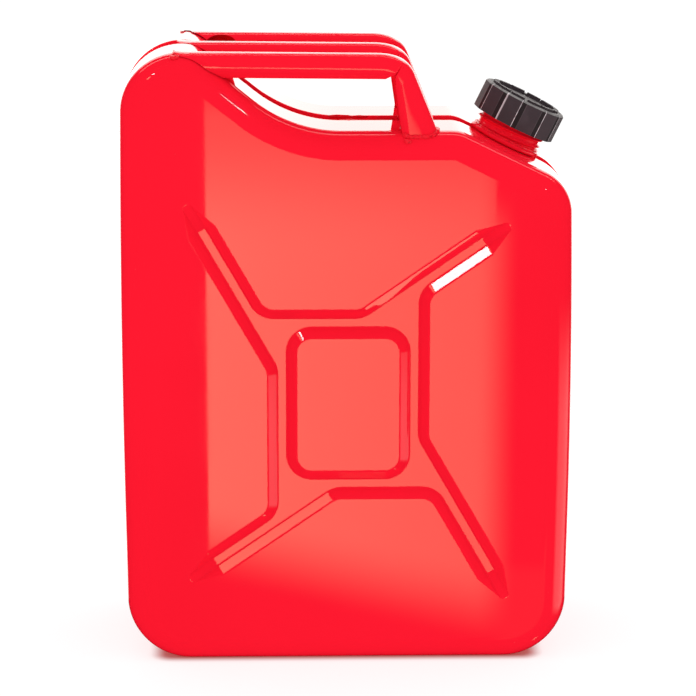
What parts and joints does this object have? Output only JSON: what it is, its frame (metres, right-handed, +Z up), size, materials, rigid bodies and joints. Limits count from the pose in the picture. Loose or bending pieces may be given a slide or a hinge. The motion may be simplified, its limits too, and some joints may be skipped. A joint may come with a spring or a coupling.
{
  "type": "metal jerry can",
  "caption": "Upright pressed steel fuel can with X embossed faces, parallel handles over a notched top and a screw cap on a tilted neck.",
  "frame": {"origin": "middle of the can's foot, on the ground", "axes": "+Z up, +X along the broad faces towards the neck, +Y from the front face to the rear face"},
  "size_m": [0.3484, 0.165, 0.4816],
  "materials": {
    "red_paint": "high gloss red enamel",
    "weld_paint": "red enamel over a weld bead",
    "bare_steel": "bare tube",
    "gasket_rubber": "matt moulded rubber",
    "cap_plastic": "satin moulded plastic"
  },
  "bodies": {
    "can": {"front_half_shell": "red_paint", "rear_half_shell": "red_paint", "seam_weld": "weld_paint", "handle_bar_front": "red_paint", "handle_bar_middle": "red_paint", "handle_bar_rear": "red_paint", "neck_collar": "red_paint", "neck_spout": "red_paint", "breather_tube": "bare_steel"},
    "cap_carrier": {"cap_gasket": "gasket_rubber"},
    "cap": {"screw_cap": "cap_plastic"}
  },
  "joints": [
    {"name": "cap_lift", "type": "slide", "parent": "can", "child": "cap_carrier", "axis": [0.4384, 0, 0.8988], "range_m": [0, 0.029]},
    {"name": "cap_turn", "type": "hinge", "parent": "cap_carrier", "child": "cap", "pos_m": [0.12393, 0, 0.4015], "axis": [0.4384, 0, 0.8988], "range_deg": [0, 1800]}
  ],
  "couplings": [
    {"joint": "cap_lift", "follows": "cap_turn", "m_per_rad": 0.00092309}
  ]
}
